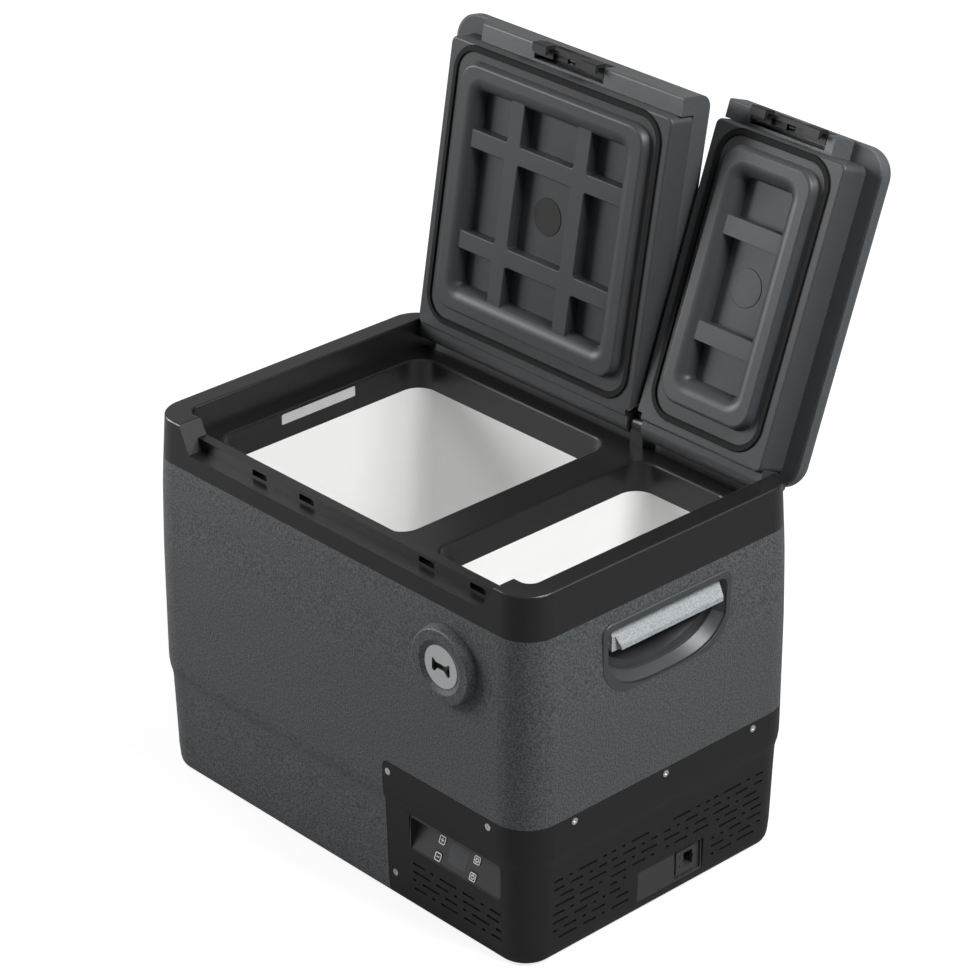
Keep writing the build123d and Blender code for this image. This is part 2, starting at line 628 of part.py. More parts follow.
def make_condenser():
    """Finned block in front of the fan: plates on straight tubes."""
    x = (FAN_X + FAN_T + 2, FAN_X + FAN_T + 20)
    y = (FAN_Y - 52, FAN_Y + 52)
    z = (TRAY_TOP - 2.0, TRAY_TOP + 104)
    fin_count = 9
    tube_count = 4
    fin_step = (y[1] - y[0]) / (fin_count - 1)
    tube_step = (z[1] - z[0]) / tube_count
    fins = []
    for i in range(fin_count):
        at = y[0] + i * fin_step
        fins.append(block(x, (at - 0.6, at + 0.6), z))
    tubes = []
    for i in range(tube_count):
        at = z[0] + (i + 0.5) * tube_step
        tubes.append(block((x[0] + 6, x[1] - 6), y, (at - 3, at + 3)))
    return fuse(fins + tubes)


def make_line():
    """Pipe from the compressor to the cold plates."""
    base = TRAY_TOP + 12 + 70
    x = COMPRESSOR_X - 74
    path = Polyline(
        (x - FIT, COMPRESSOR_Y - 14, base),
        (x - 5, COMPRESSOR_Y - 14, base),
        (x - 5, FAN_Y + 32, base),
        (x - 5, FAN_Y + 32, COMPARTMENT_TOP - 16),
    )
    pipe = sweep(Plane(origin=path @ 0, z_dir=path % 0) * Circle(2.5), path=path, transition=Transition.ROUND)
    return pipe


def make_drive_board():
    x = (COMPARTMENT_X + 4, COMPARTMENT_X + 6)
    y = (-SIDE + 58, -SIDE + 128)
    board = block(x, y, (40, 130))
    caps = [rod_x(6, (x[1], x[1] + 22), y[0] + 10 + i * 16, 60) for i in range(3)]
    sink = block((x[1], x[1] + 14), (y[0] + 8, y[1] - 10), (84, 120))
    for i in range(5):
        groove = y[0] + 11 + i * 10
        sink = sink - block((x[1] + 4, x[1] + 15), (groove, groove + 5), (83, 121))
    posts = [rod_x(3, (COMPARTMENT_X - 6, x[0]), at, z) for at in (y[0] + 6, y[1] - 6) for z in (46, 124)]
    return fuse([board, sink] + caps + posts)


# ---------------------------------------------------------------- vent cover and what sits in it
def slot_row(start, low, high):
    """Spans of one row of vent slots: long, short, dot, over and over, cut to the row's width."""
    spans = []
    at = start
    while at < high:
        for length, gap in ((26.0, 9.5), (18.5, 9.0), (4.5, 9.5)):
            a, b = max(at, low), min(at + length, high)
            if b - a >= 4.0:
                spans.append((a, b))
            at += length + gap
    return spans


FRONT_STARTS = (VENT_X + 5.0, VENT_X - 24.0, VENT_X - 37.5, VENT_X + 3.5)
SIDE_STARTS = (-146.0, -175.0, -160.0, -193.0, -152.0, -181.0, -167.0, -197.0)
SIDE_BAYS = ((-SIDE + 43.2, -79.0), (-72.0, -4.0))


def front_slots():
    cuts = []
    for row, start in enumerate(FRONT_STARTS):
        z = FRONT_ROWS_Z + row * ROW_PITCH
        y = (front_y(z) - 5, front_y(z) + 10)
        for span in slot_row(start, PANEL_X[0] + 3.0, PANEL_X[1] - 1.0):
            cuts.append(block(span, y, (z - SLOT_ROW_H / 2, z + SLOT_ROW_H / 2)))
    return cuts


def side_slots():
    cuts = []
    for row, start in enumerate(SIDE_STARTS):
        z = SIDE_ROWS_Z + row * ROW_PITCH
        x = (side_x(z) - 10, side_x(z) + 5)
        for low, high in SIDE_BAYS:
            for a, b in slot_row(start, low, high):
                for y in ((a, b), (-b + 3.0, -a + 3.0)):
                    below = z < DC_Z[1] + 6
                    if below and y[1] > DC_Y[0] - 8 and y[0] < DC_Y[1] + 8:
                        continue
                    cuts.append(block(x, y, (z - SLOT_ROW_H / 2, z + SLOT_ROW_H / 2)))
    return cuts


def make_vent_cover():
    outer = body_stack(0, z_high=VENT_TOP)
    inner = body_stack(SKIN, z_low=FOOT_STAND + SKIN, z_high=VENT_TOP)
    band = outer - inner
    cover = band & vent_region(0)
    cover = cover - front_slots()
    cover = cover - side_slots()
    opening_y = (front_y(100) - 10, front_y(100) + 12)
    cover = cover - rounded_y(PANEL_X, PANEL_Z, opening_y, 6)
    side = side_x(40)
    cover = cover - rounded_x(DC_Y, DC_Z, (side - 12, side + 5), 2)
    for x, z in FRONT_SCREWS:
        y = front_y(z)
        cover = cover - rod_y(2.2, x, (y - 5, y + 8), z) - rod_y(SCREW_R + 0.2, x, (y - 5, y + 1.4), z)
    for y, z in SIDE_SCREWS:
        x = side_x(z)
        cover = cover - rod_x(2.2, (x - 8, x + 5), y, z) - rod_x(SCREW_R + 0.2, (x - 1.4, x + 5), y, z)
    return cover


def make_screws():
    parts = []
    for x, z in FRONT_SCREWS:
        y = front_y(z)
        head = rod_y(SCREW_R, x, (y - 0.4, y + 1.4), z) - rod_y(1.4, x, (y - 1, y + 0.5), z)
        parts.append(head + rod_y(2.0, x, (y + 1, y + 12), z))
    for y, z in SIDE_SCREWS:
        x = side_x(z)
        head = rod_x(SCREW_R, (x - 1.4, x + 0.4), y, z) - rod_x(1.4, (x - 0.5, x + 1), y, z)
        parts.append(head + rod_x(2.0, (x - 12, x - 1), y, z))
    return parts


PANEL_Y = front_y(79) + 0.6  # y of the panel face at its lower edge
FACE_LOW_Z = PANEL_Z[0] + 1.6
PANEL_MID = PANEL_X[0] + 67.5
KEYS = {
    "key_plus": (PANEL_MID - 26.5, 25.7),
    "key_minus": (PANEL_MID - 26.5, 6.8),
    "key_set": (PANEL_MID + 26.5, 25.7),
    "key_power": (PANEL_MID + 26.5, 6.8),
}
KEY_SIDE = 10.5
KEY_RISE = 0.5
KEY_TRAVEL = 0.6
DISPLAY = {"x": PANEL_MID + 0.5, "u": 17.0, "w": 28.0, "h": 24.0}


def panel_plane(x, u, out):
    """A plane on the tilted face: u up the slope from its lower edge, out along its normal."""
    tilt = math.radians(PANEL_TILT)
    up = (0, math.sin(tilt), math.cos(tilt))
    normal = (0, -math.cos(tilt), math.sin(tilt))
    origin = (x, PANEL_Y + up[1] * u + normal[1] * out, FACE_LOW_Z + up[2] * u + normal[2] * out)
    return Plane(origin=origin, x_dir=(1, 0, 0), z_dir=normal)


def panel_pad(x, u, width, height, radius, low, high):
    """A rounded block standing on the tilted face between two levels along its normal."""
    plane = panel_plane(x, u, low)
    return extrude(plane * RectangleRounded(width, height, radius), amount=high - low)


def make_control_panel():
    inner = front_y(79) + SKIN + FIT
    opening_x = (PANEL_X[0] + FIT, PANEL_X[1] - FIT)
    opening_z = (PANEL_Z[0] + FIT, PANEL_Z[1] - FIT)
    tilt = math.tan(math.radians(PANEL_TILT))
    slope_top = 31.0
    face_top = (PANEL_Y + slope_top * tilt, FACE_LOW_Z + slope_top)
    lip = rounded_y(opening_x, opening_z, (front_y(100) + 0.4, inner + 1), 6 - FIT)
    flange_x = (PANEL_X[0] - 6, PANEL_X[1] + 1.8)
    flange = rounded_y(flange_x, (PANEL_Z[0] - 5, PANEL_Z[1] + 6), (inner, inner + 2), 8)
    back = [
        (inner, FACE_LOW_Z - 2.5),
        (PANEL_Y + 7.5, FACE_LOW_Z - 2.5),
        (face_top[0] + 3.0, face_top[1] - 0.5),
        (face_top[0] + 1.5, face_top[1] + 3.5),
        (inner + 1.5, PANEL_Z[1] + 3.0),
        (inner, PANEL_Z[1] + 3.0),
    ]
    pocket = prism_x(back, (PANEL_X[0] - 2, PANEL_X[1] + 2))
    cavity = [
        (PANEL_Y - 8, FACE_LOW_Z),
        (PANEL_Y, FACE_LOW_Z),
        face_top,
        (front_y(119) - 4, PANEL_Z[1] - 1.4),
        (PANEL_Y - 8, PANEL_Z[1] - 1.4),
    ]
    panel = lip + flange + pocket - prism_x(cavity, (opening_x[0] + 1.4, opening_x[1] - 1.4))
    back_cut = panel_pad(PANEL_MID, 16.3, 96, 27.8, 4, -14, -2.6)
    panel = panel - back_cut
    for x, u in KEYS.values():
        panel = panel - panel_pad(x, u, KEY_SIDE + 2 * FIT, KEY_SIDE + 2 * FIT, 2.2, -6, 2)
    d = DISPLAY
    panel = panel - panel_pad(d["x"], d["u"], d["w"], d["h"], 2, -0.9, 1)
    panel = panel - panel_pad(d["x"], d["u"], d["w"] - 4, d["h"] - 4, 2, -6, 1)
    return panel


def make_key(x, u):
    cap = panel_pad(x, u, KEY_SIDE, KEY_SIDE, 2.0, -2.0, KEY_RISE)
    foot = panel_pad(x, u, KEY_SIDE + 2.4, 8.0, 1.5, -3.9, -2.9)
    stem = panel_pad(x, u, 4, 4, 1, -4.4, -1.5)
    neck = panel_pad(x, u, KEY_SIDE, 8.0, 2.0, -3.4, -1.8)
    return cap + neck + foot + stem


def make_window():
    d = DISPLAY
    return panel_pad(d["x"], d["u"], d["w"] - 2 * 0.15, d["h"] - 2 * 0.15, 1.9, -0.85, 0.0)


def make_control_board():
    board = panel_pad(PANEL_MID, 16, 94, 24, 3, -9.0, -7.4)
    switches = [panel_pad(x, u, 6, 6, 0.8, -7.4, -4.4 - KEY_TRAVEL - 0.1) for x, u in KEYS.values()]
    d = DISPLAY
    digits = panel_pad(d["x"], d["u"] - 1, 22, 16, 1, -7.4, -2.9)
    return fuse([board, digits] + switches)


SOCKET_Y = (30.0, 58.0)
SOCKET_Z = (20.0, 50.0)
SOCKET_HOLE_Y = (41.5, 55.0)
SOCKET_HOLE_Z = (27.0, 45.0)


def make_dc_panel():
    side = side_x(20) - 0.9
    plate = rounded_x((DC_Y[0] + FIT, DC_Y[1] - FIT), (DC_Z[0] + FIT, DC_Z[1] - FIT), (side - 5.0, side), 1.7)
    inner = side_x(DC_Z[0] - 4) - SKIN - FIT
    flange = rounded_x((DC_Y[0] - 4, DC_Y[1] + 4), (DC_Z[0] - 4, DC_Z[1] + 4), (inner - 2.5, inner), 3)
    panel = plate + flange
    recess = rounded_x((26, DC_Y[1] - 2.5), (DC_Z[0] + 2.5, DC_Z[1] - 2.5), (side - 2.2, side + 1), 1)
    panel = panel - recess
    panel = panel - rounded_x(SOCKET_Y, SOCKET_Z, (side - 20, side + 1), 1.5)
    return panel


def make_dc_socket():
    side = side_x(20) - 0.9
    y = (SOCKET_Y[0] + FIT, SOCKET_Y[1] - FIT)
    z = (SOCKET_Z[0] + FIT, SOCKET_Z[1] - FIT)
    body = rounded_x(y, z, (side - 24, side - 0.6), 1.3)
    mouth = rounded_x(SOCKET_HOLE_Y, SOCKET_HOLE_Z, (side - 21, side + 1), 1)
    groove = rounded_x((SOCKET_HOLE_Y[0] - 1.6, SOCKET_HOLE_Y[1] + 1.2), (34, 38), (side - 14, side + 1), 0.6)
    dots = [rod_x(1.2, (side - 1.4, side + 1), 35.5, zz) for zz in (30.5, 41.5)]
    return body - mouth - groove - fuse(dots)


def make_dc_contacts():
    side = side_x(20) - 0.9
    y = (SOCKET_HOLE_Y[0] + SOCKET_HOLE_Y[1]) / 2
    return [rod_x(1.4, (side - 21, side - 8), y, z) for z in (31.0, 41.0)]


# ---------------------------------------------------------------- opener
def make_opener_boss():
    y = front_y(OPENER_Z)
    face = y - OPENER_RISE
    dome = Solid.make_cone(OPENER_BOSS_R + 1.5, OPENER_BOSS_R - 1.0, OPENER_RISE + 1.2)
    boss = Pos(OPENER_X, y + 1.2, OPENER_Z) * Rot(90, 0, 0) * dome
    outer_edge = boss.edges().filter_by(GeomType.CIRCLE).sort_by(Axis.Y)[:1]
    boss = fillet(outer_edge, 2.2)
    dish = Solid.make_cone(OPENER_PLATE_R + 1.2, OPENER_PLATE_R + 6.5, 2.6)
    boss = boss - Pos(OPENER_X, face + 2.6, OPENER_Z) * Rot(90, 0, 0) * dish
    boss = boss - rod_y(OPENER_PLATE_R + FIT, OPENER_X, (face + 1.4, face + 4.6), OPENER_Z)
    boss = boss - rod_y(15, OPENER_X, (face - 1, y - 0.6), OPENER_Z)
    boss = boss - body_stack(-0.02, z_low=OPENER_Z - 60, z_high=OPENER_Z + 60)
    stud = rod_y(STUD_R, OPENER_X, (y - 2, y + SKIN + 2), OPENER_Z)
    return boss + stud


def make_opener_plate():
    y = front_y(OPENER_Z)
    face = y - OPENER_RISE
    plate = rod_y(OPENER_PLATE_R, OPENER_X, (face + 2.4, face + 4.6), OPENER_Z)
    right_half = [(7, 3.2), (13, 7.5), (13.5, -7.0), (9.5, -8.5), (5, -3.2)]
    left_half = [(-a, b) for a, b in reversed(right_half)]
    points = [(OPENER_X + a, OPENER_Z + b) for a, b in right_half + left_half]
    slot = prism_y(points, (face, face + 8))
    slot = fillet(slot.edges().filter_by(Axis.Y), 1.1)
    return plate - slot


# ---------------------------------------------------------------- handles
def handle_hollow(clear):
    """The hand pocket of the right handle, made smaller by clear: a sloping band, a step and a deep pocket."""
    face = END + HANDLE_RISE
    floor = face - HANDLE_DISH
    rim = HANDLE_BEAD + clear
    band = handle_loft((rim + 8.0, rim), (floor, face + 1.0))
    step = handle_prism(rim + 8.5, (floor - 4.0, floor + 0.5))
    deep = handle_loft((rim + 22.0, rim + 15.0), (face - HANDLE_DEEP, floor - 3.9))
    return band + step + deep


def make_handle():
    """Right handle: a rounded bead round a dished pocket."""
    face = END + HANDLE_RISE
    bead = handle_prism(0.0, (END - 4.0, face))
    top = [edge for edge in bead.edges() if abs(edge.center().X - face) < 0.01]
    bead = fillet(top, 2.0) - body_stack(-0.05, z_low=HANDLE_BOTTOM - 45, z_high=BELT_Z)
    cup = handle_prism(5.0 + FIT, (face - HANDLE_DEEP - 3.0, face - 2.0))
    return bead + cup - handle_hollow(0)


def make_grip():
    """Grip bar of the right handle, with a sloping face and blocks that seat in the pocket's ends."""
    face = END + HANDLE_RISE
    top = HANDLE_TOP
    section = [
        (face - 12.0, top - 6.0),
        (face - 9.0, top - 6.0),
        (face + 1.8, top - 30.5),
        (face + 1.0, top - 34.0),
        (face - 2.5, top - 35.5),
        (face - 8.0, top - 33.5),
        (face - 17.0, top - 12.0),
    ]
    half = HANDLE_HALF
    bar = prism_y(section, (-half + 17, half - 15))
    slant = [(-half + 5, top - 47), (-half + 5, top + 3), (-half + 15.5, top - 2), (-half + 29, top - 39)]
    bar = bar - prism_x(slant, (face - 4.0, face + 5))
    hangers = [block((face - 22, face - 8), y, (top - 31, top - 9)) for y in ((-half, -half + 18), (half - 16, half))]
    return (bar + fuse(hangers)) & handle_hollow(FIT)


# ---------------------------------------------------------------- light
def make_led_lens():
    left = WELLS["large"]["x"][0]
    y = (LED_Y[0] + FIT, LED_Y[1] - FIT)
    lens = rounded_x(y, (LED_Z[0] + FIT, LED_Z[1] - FIT), (left - WALL - 1, left - 0.4), 1.7)
    flange_x = (left - WALL - 2.6, left - WALL - 1.0)
    flange = rounded_x((LED_Y[0] - 3, LED_Y[1] + 3), (LED_Z[0] - 2.5, LED_Z[1] - 1.0), flange_x, 2)
    return lens + flange


def make_led_board():
    left = WELLS["large"]["x"][0] - WALL - 2.6
    board = block((left - 5.0, left - 3.8), (LED_Y[0] + 2, LED_Y[1] - 2), (LED_Z[0] - 1.0, LED_Z[1] - 2.5))
    middle = sum(LED_Z) / 2 - 1.0
    leds = []
    for i in range(7):
        at = LED_Y[0] + 12 + i * 14
        leds.append(block((left - 3.8, left), (at - 2.5, at + 2.5), (middle - 2.5, middle + 2.5)))
    return fuse([board] + leds)


# ---------------------------------------------------------------- hinge pins
def make_pins():
    parts = []
    for side in (-1, 1):
        x = sorted((side * (END_WALL_IN_LOW - PIN_HOLD), side * (END_WALL_IN_LOW + 18)))
        parts.append(rod_x(PIN_R, x, HINGE_Y, HINGE_Z))
    x = (HINGE_POST_X[0] - PIN_HOLD + 2, HINGE_POST_X[1] + PIN_HOLD - 2)
    parts.append(rod_x(PIN_R, x, HINGE_Y, HINGE_Z))
    return parts


# ---------------------------------------------------------------- lids (drawn closed, then swung open)
def lid_y(v):
    return HINGE_Y - v


def lid_box(x, v, w):
    return block(x, (lid_y(v[1]), lid_y(v[0])), (HINGE_Z + w[0], HINGE_Z + w[1]))


def lid_rounded(x, v, w, radius):
    return rounded_block(x, (lid_y(v[1]), lid_y(v[0])), (HINGE_Z + w[0], HINGE_Z + w[1]), radius)


def lid_tapered(x, v, w, radius, grow):
    y = (lid_y(v[1]), lid_y(v[0]))
    z = (HINGE_Z + w[0], HINGE_Z + w[1])
    return tapered_block(x, y, z, radius, -grow)


def lid_half(name, margin):
    """Everything on this lid's side of the gap between the lids."""
    lid = LIDS[name]
    if lid["outer_side"] < 0:
        x = (-BELT_X, lid["x"][1] - margin)
    else:
        x = (lid["x"][0] + margin, BELT_X)
    return lid_box(x, (COVER_V[0] - 50, COVER_V[1] + 50), (PANEL_W - 50, COVER_W[1] + 50))


def cover_slab(inset, w):
    """The form of both covers together, moved inwards by inset."""
    x = (-COVER_X + inset, COVER_X - inset)
    v = (COVER_V[0] + inset, COVER_V[1] - inset)
    slab = lid_rounded(x, v, w, COVER_CORNER - inset)
    return fillet(slab.faces().sort_by(Axis.Z)[-1].edges(), COVER_EDGE - inset)


def skirt_form(name, inset, w):
    """The skirt in front of the cover, with a slanted outer end."""
    side = LIDS[name]["outer_side"]
    slope = (SKIRT_OUT_HIGH - SKIRT_OUT_LOW) / (COVER_W[0] - SKIRT_W)
    low = SKIRT_OUT_LOW - inset + slope * (w[0] - SKIRT_W)
    high = SKIRT_OUT_LOW - inset + slope * (w[1] - SKIRT_W)
    inner = LIDS[name]["x"][1] - inset if side < 0 else LIDS[name]["x"][0] + inset
    points = [
        (side * low, HINGE_Z + w[0]),
        (inner, HINGE_Z + w[0]),
        (inner, HINGE_Z + w[1]),
        (side * high, HINGE_Z + w[1]),
    ]
    return prism_y(points, (lid_y(COVER_V[1] - inset), lid_y(PANEL_V[1] + FIT)))


def latch_span(name, margin):
    centre = LATCH_X[name]
    half = LATCH_W / 2 + margin
    return (centre - half, centre + half)


def make_cover(name):
    cover = cover_slab(0, COVER_W) & lid_half(name, 0)
    inner = cover_slab(WALL, (COVER_W[0] - 1, COVER_W[1] - WALL)) & lid_half(name, WALL)
    cover = cover - inner
    skirt = skirt_form(name, 0, (SKIRT_W, COVER_W[0]))
    front = lid_y(COVER_V[1])
    lower = [edge for edge in skirt.edges() if edge.center().Z < HINGE_Z + SKIRT_W + 0.01]
    front_low = [edge for edge in lower if edge.center().Y < front + 0.01]
    skirt = fillet(front_low, SKIRT_EDGE)
    skirt = skirt - skirt_form(name, WALL, (SKIRT_W + WALL, COVER_W[0] + 1))
    # lugs beside the latch, the room for the latch, and the pin's bore
    lugs = lid_box(latch_span(name, 7.0), (COVER_V[1] - 16, COVER_V[1] - 1), (SKIRT_W + 1, COVER_W[0] - 0.5))
    skirt = skirt + (lugs & skirt_form(name, 0.5, (SKIRT_W, COVER_W[0])))
    skirt = skirt - lid_box(latch_span(name, 1.0), (COVER_V[1] - 17.5, COVER_V[1] + 1), (SKIRT_W - 1, 10.0))
    pivot_v, pivot_w = LATCH_PIVOT
    skirt = skirt - rod_x(LATCH_PIN_R + PRESSED, latch_span(name, 8.0), lid_y(pivot_v), HINGE_Z + pivot_w)
    return cover + skirt - hinge_notch(0)


def hinge_notch(clear):
    """Room round the hinge post, in either lid."""
    x = (HINGE_POST_X[0] - 1.2 - clear, HINGE_POST_X[1] + 1.2 + clear)
    return rod_x(HINGE_POST_R + 15.0 + clear / 3, x, HINGE_Y, HINGE_Z)


def panel_block(name, inset, w):
    """The panel's box with its outer side wall leaning out on the way up."""
    lid = LIDS[name]
    faces = []
    for level in w:
        lean = PANEL_LEAN * (level - PANEL_W) / (COVER_W[0] - PANEL_W)
        left = lid["x"][0] + inset - (lean if lid["outer_side"] < 0 else 0)
        right = lid["x"][1] - inset + (lean if lid["outer_side"] > 0 else 0)
        y = (lid_y(PANEL_V[1] - inset), lid_y(PANEL_V[0] + inset))
        faces.append(rounded_face((left, right), y, HINGE_Z + level, 8.0 - min(inset, 4)))
    return loft(faces, ruled=True)


def inset_span(span, inset):
    return (span[0] + inset, span[1] - inset)


def rounded_ribs(shape):
    """Ribs with rounded corners and softened tops."""
    parts = []
    for solid in shape.solids():
        solid = fillet(solid.edges().filter_by(Axis.Z), 3.0)
        parts.append(fillet(solid.faces().sort_by(Axis.Z)[0].edges(), 1.2))
    return fuse(parts)


def make_ribs(name):
    """The bars that stand in the dish: two across, and in the large lid two lengthwise."""
    x = PLUG[name]["x"]
    lip = PANEL_W - PLUG_RISE
    w = (lip + RIB_DROP, lip + DISH_DROP + 0.5)
    reach_x = inset_span(x, DISH_IN - 11)
    reach_v = inset_span(PLUG_V, DISH_IN - 11)
    bars = []
    for share in (RIB_SHARE_V, 1 - RIB_SHARE_V):
        at = PLUG_V[0] + share * (PLUG_V[1] - PLUG_V[0])
        bars.append(lid_box(reach_x, (at - RIB_W / 2, at + RIB_W / 2), w))
    if PLUG[name]["long_ribs"]:
        for share in (RIB_SHARE_X, 1 - RIB_SHARE_X):
            at = x[0] + share * (x[1] - x[0])
            bars.append(lid_box((at - RIB_W / 2, at + RIB_W / 2), reach_v, w))
    return rounded_ribs(fuse(bars))


def dished_plug(name):
    """The raised plug: a flat lip, a broad rounding into the dish, a flat floor and the ribs."""
    x = PLUG[name]["x"]
    lip = PANEL_W - PLUG_RISE
    raised = lid_tapered(inset_span(x, 3), inset_span(PLUG_V, 3), (lip, PANEL_W + 1), PLUG_CORNER - 3, 3.0)
    raised = fillet(raised.faces().sort_by(Axis.Z)[0].edges(), PLUG_EDGE)
    back = lid_rounded(inset_span(x, 4), inset_span(PLUG_V, 4), (PANEL_W, lip + DISH_DROP + WALL), PLUG_CORNER - 6)
    hole_x = inset_span(x, DISH_IN)
    hole_v = inset_span(PLUG_V, DISH_IN)
    plug = raised + back - lid_rounded(hole_x, hole_v, (lip - 1, lip + DISH_DROP), DISH_CORNER)
    mouth = []
    for edge in plug.edges():
        at = edge.center()
        level = abs(at.Z - HINGE_Z - lip) < 0.01
        across = hole_x[0] - 0.1 < at.X < hole_x[1] + 0.1
        along = lid_y(hole_v[1]) - 0.1 < at.Y < lid_y(hole_v[0]) + 0.1
        if level and across and along:
            mouth.append(edge)
    plug = fillet(mouth, DISH_ROUND) + make_ribs(name)
    floor = HINGE_Z + lip + DISH_DROP
    return plug - rod_z(DISC_R + FIT, sum(x) / 2, lid_y(sum(PLUG_V) / 2), (floor - 1, floor + 1.6))


def gasket_ring(name, width, w):
    """A rounded ring just outside the well's mouth."""
    well = WELLS[name]
    rings = []
    for grow in (GASKET_MID + width / 2, GASKET_MID - width / 2):
        x = (well["x"][0] - grow, well["x"][1] + grow)
        y = (well["y"][0] - grow, well["y"][1] + grow)
        rings.append(rounded_block(x, y, (HINGE_Z + w[0], HINGE_Z + w[1]), WELL_CORNER + grow))
    return rings[0] - rings[1]


def make_liner(name):
    span = LIDS[name]["x"]
    w_top = COVER_W[0]
    tray = panel_block(name, 0, (PANEL_W, w_top))
    face_edges = tray.faces().sort_by(Axis.Z)[0].edges()
    tray = fillet([edge for edge in face_edges if edge.center().Y < lid_y(PANEL_V[0] + 10)], PANEL_EDGE)
    barrel = rod_x(BARREL_R, span, HINGE_Y, HINGE_Z)
    toe = lid_box(span, (0, 16), (-BARREL_R, 0)) & rod_x(BARREL_TOE, span, HINGE_Y, HINGE_Z)
    barrel = barrel + toe - lid_box((-BELT_X, BELT_X), (-60, 60), (w_top, 60))
    flange = cover_slab(WALL + 0.2, (w_top, COVER_W[1])) & lid_half(name, WALL + 0.2)
    flange = flange & lid_box((-BELT_X, BELT_X), (-60, COVER_V[1] + 50), (w_top, w_top + 2.5))
    hollow = panel_block(name, WALL, (PANEL_W + WALL, w_top + 5)) - rod_x(BARREL_R, span, HINGE_Y, HINGE_Z)
    body = tray + barrel + flange - hollow
    # the plug takes the middle of the panel
    x = PLUG[name]["x"]
    opening = lid_rounded(inset_span(x, 10), inset_span(PLUG_V, 10), (PANEL_W - 1, PANEL_W + WALL + 0.5), 16)
    body = body - opening + dished_plug(name)
    # groove of the gasket, room for the hinge post, bores of the hinge pins
    body = body - gasket_ring(name, GASKET_W, (PANEL_W - 1, PANEL_W + GASKET_GROOVE)) - hinge_notch(0)
    end = END_WALL_IN_LOW
    bores = [(-end, -end + PIN_HOLD + 2), (end - PIN_HOLD - 2, end), (HINGE_POST_X[0] - PIN_HOLD, HINGE_POST_X[1] + PIN_HOLD)]
    for bore_x in bores:
        body = body - rod_x(PIN_R + RUNNING, bore_x, HINGE_Y, HINGE_Z)
    return body


def make_lid_foam(name):
    w_top = COVER_W[0]
    upper = cover_slab(WALL + 1.0, (w_top + 3.0, COVER_W[1] - WALL - 0.5)) & lid_half(name, WALL + 1.0)
    lower = panel_block(name, WALL + 0.5, (PANEL_W + WALL + 0.5, w_top + 4))
    plug_x = inset_span(PLUG[name]["x"], 3)
    plug_top = PANEL_W - PLUG_RISE + DISH_DROP + WALL + 0.5
    plug = lid_rounded(plug_x, inset_span(PLUG_V, 3), (PANEL_W, plug_top), PLUG_CORNER - 6)
    lower = lower - plug - rod_x(BARREL_R + 0.5, (-BELT_X, BELT_X), HINGE_Y, HINGE_Z)
    return upper + lower - hinge_notch(WALL + 0.3)


def make_gasket(name):
    base = gasket_ring(name, GASKET_W - 2 * FIT, (PANEL_W - 0.5, PANEL_W + GASKET_GROOVE))
    bead = gasket_ring(name, GASKET_W - 3.0, (PANEL_W - GASKET_RISE, PANEL_W))
    return base + bead


def make_disc(name):
    low = HINGE_Z + PANEL_W - PLUG_RISE + DISH_DROP
    disc = rod_z(DISC_R, sum(PLUG[name]["x"]) / 2, lid_y(sum(PLUG_V) / 2), (low - 0.6, low + 1.6))
    rim = disc.edges().filter_by(GeomType.CIRCLE).sort_by(Axis.Z)[:1]
    return fillet(rim, 0.4)


def make_latch(name):
    """A bar that swings on a pin in the skirt, with two claws for the slots of the ridge."""
    centre = LATCH_X[name]
    x = latch_span(name, 0)
    front = COVER_V[1]
    pivot_v, pivot_w = LATCH_PIVOT
    y = [lid_y(v) for v in LATCH_V]
    section = [
        (y[0], HINGE_Z + SKIRT_W),
        (y[1], HINGE_Z + SKIRT_W),
        (y[1], HINGE_Z + 4.0),
        (y[1] + 2.5, HINGE_Z + 6.0),
        (y[0], HINGE_Z + 6.0),
    ]
    latch = prism_x(section, x)
    claw = [
        (lid_y(front - 7.0), SLOT_Z - 2.6),
        (lid_y(front - 7.0), SLOT_Z + 1.0),
        (lid_y(front - 1.1), SLOT_Z + 2.4),
        (lid_y(front - 1.1), HINGE_Z + SKIRT_W + 0.5),
        (lid_y(front - 4.0), HINGE_Z + SKIRT_W + 1.0),
        (lid_y(front - 4.0), HINGE_Z + 1.0),
        (lid_y(front + 3.0), HINGE_Z - 1.0),
        (lid_y(front + 3.0), SLOT_Z - 1.2),
        (lid_y(front + 1.6), SLOT_Z - 2.6),
    ]
    for side in (-1, 1):
        mid = centre + side * CLAW_PITCH / 2
        latch = latch + prism_x(claw, (mid - CLAW_W / 2, mid + CLAW_W / 2))
    scoop = lid_box((centre - 25, centre + 25), (front - 15, front - 4.5), (SKIRT_W - 1, SKIRT_W + 4.0))
    bore = rod_x(LATCH_PIN_R + RUNNING, latch_span(name, 1.0), lid_y(pivot_v), HINGE_Z + pivot_w)
    spring_room = lid_box((centre - 6, centre + 6), (front - 15, front - 4.0), (-2.5, 8))
    return latch - scoop - bore - spring_room


def make_latch_pin(name):
    pivot_v, pivot_w = LATCH_PIVOT
    return rod_x(LATCH_PIN_R, latch_span(name, 6.0), lid_y(pivot_v), HINGE_Z + pivot_w)


def make_latch_spring(name):
    """A sleeve spring on the latch pin with a leaf that bears on the lid."""
    centre = LATCH_X[name]
    pivot_v, pivot_w = LATCH_PIVOT
    x = (centre - 4, centre + 4)
    sleeve = rod_x(LATCH_PIN_R + 1.1, x, lid_y(pivot_v), HINGE_Z + pivot_w)
    leaf = lid_box(x, (pivot_v - 6, pivot_v), (pivot_w + 1.8, pivot_w + 2.4))
    return sleeve + leaf - rod_x(LATCH_PIN_R + RUNNING, (x[0] - 1, x[1] + 1), lid_y(pivot_v), HINGE_Z + pivot_w)


